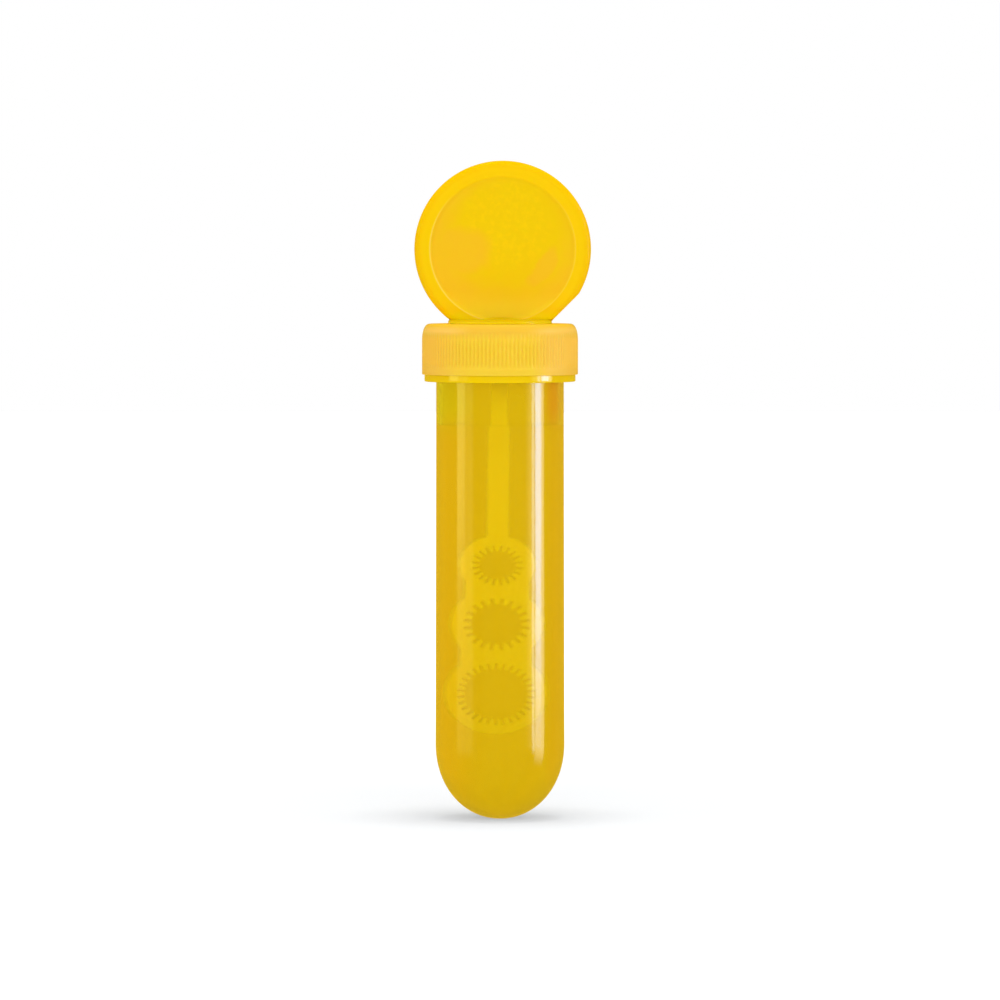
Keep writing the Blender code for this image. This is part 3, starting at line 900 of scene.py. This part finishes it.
def glossyYellowPlastic(look, shape):
    material, tree, output = newMaterial("glossyYellowPlastic")
    cx, _, cz = shape["centre"]
    centred = objectCoords(tree, location=(-cx, 0.0, -cz))
    parts = addNode(tree, "ShaderNodeSeparateXYZ", Vector=centred)
    side, height = parts.outputs["X"], parts.outputs["Z"]
    flat = addNode(tree, "ShaderNodeCombineXYZ", X=side, Z=height).outputs[0]
    radius = vectorLength(tree, flat)
    panelRadius = shape["panelRadius"]
    inPanel = mapRange(tree, radius, panelRadius, panelRadius - 0.4 * mm)
    atEdge = mapRange(tree, radius, shape["radius"] - 2.0 * mm, shape["radius"], smooth=True)

    # Painted reflections: the panel is painted warmer in a crescent along its left and its foot, and in two
    # spots with torn borders
    wobble = tree.nodes.new("ShaderNodeTexNoise")
    tree.links.new(centred, wobble.inputs["Vector"])
    wobble.inputs["Scale"].default_value = 260.0
    wobble.inputs["Detail"].default_value = 4.0
    moved = tree.nodes.new("ShaderNodeVectorMath")
    moved.operation = "MULTIPLY_ADD"
    tree.links.new(wobble.outputs["Color"], moved.inputs[0])
    moved.inputs[1].default_value = (look["tornDepth"], 0.0, look["tornDepth"])
    tree.links.new(flat, moved.inputs[2])
    torn = moved.outputs[0]
    reflected = maths(tree, "SUBTRACT", 1.0, softSpot(tree, torn, look["spotFade"], *look["oliveSpot"]))
    for spot in look["paintedReflectionSpots"]:
        reflected = maths(tree, "MAXIMUM", reflected, softSpot(tree, torn, look["spotFade"], *spot))

    clouds = noise(tree, centred, 120.0, 3.0)
    flecks = noise(tree, centred, 700.0, 4.0, 0.65, 0.1)
    middle = softSpot(tree, flat, look["spotFade"], *look["fleckSpot"])
    fleckShare = maths(tree, "MULTIPLY", mapRange(tree, flecks, 0.46, 0.66), middle)
    panel = mixColours(tree, fleckShare, look["panelColour"], look["fleckColour"])
    deep = mapRange(tree, height, *look["lowReflectionRange"], smooth=True)
    panel = mixColours(tree, reflected, panel, mixColours(tree, deep, look["paintedReflectionColour"], look["lowPaintedReflectionColour"]))
    colour = mixColours(tree, inPanel, look["colour"], panel)
    # Painted shade: a deeper amber round the disc's rounded edge
    colour = mixColours(tree, atEdge, colour, look["edgePaintedShade"])

    # Painted light and shade: the plastic is painted lighter and more olive just above the foot,
    # and painted shade darkens a crescent at the panel's lowest point
    low = mapRange(tree, height, *look["lowShadingRange"], smooth=True)
    onRim = mapRange(tree, radius, panelRadius, panelRadius + 0.3 * mm)
    colour = mixColours(tree, maths(tree, "MULTIPLY", low, onRim), colour, look["lowPaintedShading"])
    crescent = softSpot(tree, flat, look["spotFade"], *look["crescentShadeSpot"])
    colour = mixColours(tree, crescent, colour, look["crescentPaintedShade"])
    # Painted light and shade on the foot: its side is painted lighter and its top darker
    footTop = shape["footTop"] - cz
    onFoot = mapRange(tree, height, footTop + 0.05 * mm, footTop + 0.01 * mm)
    upper = mapRange(tree, height, footTop - 0.65 * mm, footTop - 0.25 * mm)
    foot = mixColours(tree, upper, look["footSidePaintedLight"], look["footTopPaintedShade"])
    colour = mixColours(tree, onFoot, colour, foot)

    # A painted highlight, a fine pale line, runs round the panel's border, weaker on the right, and fades
    # out at the top
    fromBorder = maths(tree, "ABSOLUTE", maths(tree, "SUBTRACT", radius, panelRadius))
    line = mapRange(tree, fromBorder, *look["lineWidth"])
    lower = mapRange(tree, height, *look["lineRange"])
    leftward = mapRange(tree, side, 8.0 * mm, -12.0 * mm, *look["lineStrength"])
    line = maths(tree, "MULTIPLY", line, maths(tree, "SUBTRACT", 1.0, onFoot))
    line = maths(tree, "MULTIPLY", line, maths(tree, "MULTIPLY", lower, leftward))
    colour = mixColours(tree, line, colour, look["borderPaintedHighlight"])
    fine = noise(tree, centred, 1500.0, 3.0, 0.6)
    roughness = mapRange(tree, fine, 0.3, 0.7, 0.16, 0.24)
    wavy = bump(tree, clouds, 0.30, 0.22 * mm)
    plastic = addNode(
        tree, "ShaderNodeBsdfPrincipled", Base_Color=colour, Roughness=roughness, IOR=1.48,
        Subsurface_Weight=0.5, Subsurface_Scale=2.0 * mm, Subsurface_Radius=(1.0, 0.55, 0.05),
        Specular_IOR_Level=look["specular"], Normal=bump(tree, fine, 0.15, 0.008 * mm, wavy),
    )
    tree.links.new(plastic.outputs[0], output.inputs["Surface"])
    return material


def cutFlank(bm, shape):
    # The rim runs straight down to the foot, low on the right: its points are drawn in to a slanted line
    slant = math.radians(shape["flankAngle"])
    for vert in bm.verts:
        radius = math.hypot(vert.co.x, vert.co.z)
        if radius < shape["panelRadius"] + 0.3 * mm or vert.co.x < 0:
            continue
        line = (radius - shape["flankCut"] + vert.co.z * math.sin(slant)) / math.cos(slant)
        if vert.co.x > line:
            bmesh.ops.translate(bm, verts=[vert], vec=(line - vert.co.x, 0, 0))


def buildHandle(shape, finish):
    s = shape
    half, edge = s["halfThickness"], s["edgeRound"]
    front = [
        (0.0, -half + s["panelDepth"]),
        (s["panelRadius"] - 1.20 * mm, -half + s["panelDepth"]),
        (s["panelRadius"] - 0.80 * mm, -half + s["panelDepth"]),
        (s["panelRadius"] - 0.55 * mm, -half + s["panelDepth"] * 0.90),
        (s["panelRadius"] - 0.30 * mm, -half + s["panelDepth"] * 0.55),
        (s["panelRadius"] - 0.10 * mm, -half + s["panelDepth"] * 0.18),
        (s["panelRadius"] + 0.05 * mm, -half),
        (s["panelRadius"] + 0.25 * mm, -half),
    ]
    for i in range(9):
        angle = math.pi / 2 * i / 8
        front.append((s["radius"] - edge + edge * math.sin(angle),
                      -half + edge * (1.0 - math.cos(angle))))
    profile = front + [(radius, -y) for radius, y in reversed(front)]
    bm = latheBmesh(profile, s["steps"])
    # The lathe turns about Z, and the disc faces Y
    bmesh.ops.rotate(bm, verts=bm.verts, cent=(0, 0, 0),
                     matrix=Matrix.Rotation(math.radians(-90), 3, "X"))
    cutFlank(bm, s)
    bmesh.ops.translate(bm, verts=bm.verts, vec=s["centre"])
    cut = bmesh.ops.bisect_plane(bm, geom=bm.verts[:] + bm.edges[:] + bm.faces[:], dist=1e-7,
                                 plane_co=(0, 0, s["chordHeight"]), plane_no=(0, 0, -1), clear_outer=True)
    rim = [item for item in cut["geom_cut"] if isinstance(item, bmesh.types.BMEdge)]
    bmesh.ops.edgeloop_fill(bm, edges=rim)
    handle = addPiece("discHandle", bm, glossyYellowPlastic(finish, s))

    foot = latheBmesh([
        (0.0, s["footTop"]),
        (s["footRadius"], s["footTop"]),
        (s["footRadius"], s["footBottom"]),
        (s["plugRadius"], s["footBottom"]),
        (s["plugRadius"], s["plugBottom"]),
        (s["plugRadius"] - s["plugWall"], s["plugBottom"]),
        (s["plugRadius"] - s["plugWall"], s["footBottom"]),
        (s["bossRadius"], s["footBottom"]),
        (s["bossRadius"], s["plugBottom"]),
        (0.0, s["plugBottom"]),
    ], s["steps"])
    corners = cornerEdges(foot, 60)
    topEdges = [edge for edge in corners if edge.verts[0].co.z > s["footTop"] - 0.01 * mm]
    plugEdges = [edge for edge in corners if edge.verts[0].co.z < s["plugBottom"] + 0.01 * mm]
    roundCorners(foot, topEdges, s["footRound"], 4)
    roundCorners(foot, plugEdges, s["plugRound"], 2)
    joinSolid(handle, addPiece("handleFoot", foot, None))

    # The socket for the wand's stem is cut with a block that reaches out below the plug
    socket = bmesh.new()
    bmesh.ops.create_cube(socket, size=1.0)
    bmesh.ops.scale(socket, verts=socket.verts,
                    vec=(2 * s["socketHalfWidth"], 2 * s["socketHalfDepth"], 10 * mm))
    bmesh.ops.translate(socket, verts=socket.verts, vec=(0, 0, s["socketRoof"] - 5 * mm))
    joinSolid(handle, addPiece("stemSocket", socket, None), "DIFFERENCE")
    smoothMesh(handle.data)
    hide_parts("handle_disc")
    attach(handle, "wand")


buildHandle(handleShape, handleFinish)
print("handle made")


# Wand: three toothed rings on a stem, softened along the edges of its two flat faces

wandShape = {
    "edgeRound": 0.12 * mm,
}

wandFinish = {
    "colour": (0.93, 0.765, 0.10, 1.0),
    "deepColour": (0.91, 0.73, 0.08, 1.0),
    # Painted shade low down and painted light near the top
    "lowPaintedShading": (0.84, 0.685, 0.07, 1.0),
    "topPaintedLight": (1.0, 0.830, 0.13, 1.0),
    "lowShadingRange": (60.0 * mm, 18.0 * mm),
    "topLightRange": (80.0 * mm, 88.0 * mm),
}


def wandYellowPlastic(look):
    material, tree, output = newMaterial("wandYellowPlastic")
    flow = noise(tree, objectCoords(tree, (300, 300, 40)), 1.0, 4.0, 0.55)
    fine = noise(tree, objectCoords(tree), 2200.0, 2.0)
    colour = mixColours(tree, mapRange(tree, flow, 0.35, 0.7), look["colour"], look["deepColour"])
    height = addNode(tree, "ShaderNodeSeparateXYZ", Vector=objectCoords(tree)).outputs["Z"]
    # Painted shade darkens the wand towards the bottom, and painted light lightens it above the liquid,
    # where the cap shades it
    colour = mixColours(tree, mapRange(tree, height, *look["lowShadingRange"]), colour, look["lowPaintedShading"])
    colour = mixColours(tree, mapRange(tree, height, *look["topLightRange"]), colour, look["topPaintedLight"])
    roughness = mapRange(tree, fine, 0.3, 0.7, 0.22, 0.34)
    plastic = addNode(
        tree, "ShaderNodeBsdfPrincipled", Base_Color=colour, Roughness=roughness, IOR=1.48,
        Subsurface_Weight=0.35, Subsurface_Scale=1.0 * mm, Subsurface_Radius=(1.0, 0.7, 0.15),
        Normal=bump(tree, fine, 0.12, 0.01 * mm),
    )
    tree.links.new(plastic.outputs[0], output.inputs["Surface"])
    return material


def buildWand(shape, finish):
    bm = bmesh.new()
    bm.from_mesh(cadNodes["ring_wand"].data)
    bmesh.ops.remove_doubles(bm, verts=bm.verts, dist=1e-6)
    bmesh.ops.dissolve_limit(bm, angle_limit=math.radians(1.0), verts=bm.verts, edges=bm.edges)
    edges = cornerEdges(bm, 60)
    flatEdges = [edge for edge in edges if any(abs(face.normal.y) > 0.99 for face in edge.link_faces)]
    roundCorners(bm, flatEdges, shape["edgeRound"], 2)
    wand = addPiece("toothedWand", bm, wandYellowPlastic(finish))
    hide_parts("ring_wand")
    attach(wand, "wand")


buildWand(wandShape, wandFinish)
print("wand softened")


# Washer: white foam under the cap, kept as the CAD made it

washerFinish = {
    "colour": (0.86, 0.86, 0.83, 1.0),
    "poreColour": (0.70, 0.70, 0.66, 1.0),
}


def foamWhite(look):
    material, tree, output = newMaterial("foamWhite")
    cells = tree.nodes.new("ShaderNodeTexVoronoi")
    tree.links.new(objectCoords(tree), cells.inputs["Vector"])
    cells.inputs["Scale"].default_value = 3500.0
    colour = mixColours(tree, mapRange(tree, cells.outputs["Distance"], 0.1, 0.6, 1.0, 0.0), look["colour"],
                        look["poreColour"])
    foam = addNode(tree, "ShaderNodeBsdfPrincipled", Base_Color=colour, Roughness=0.72, IOR=1.45,
                   Normal=bump(tree, cells.outputs["Distance"], 0.4, 0.03 * mm))
    tree.links.new(foam.outputs[0], output.inputs["Surface"])
    return material


foam = foamWhite(washerFinish)
for slot in cadNodes["seal_ring"].material_slots:
    slot.material = foam
print("washer finished")


bpy.context.scene.view_settings.view_transform = "Standard"
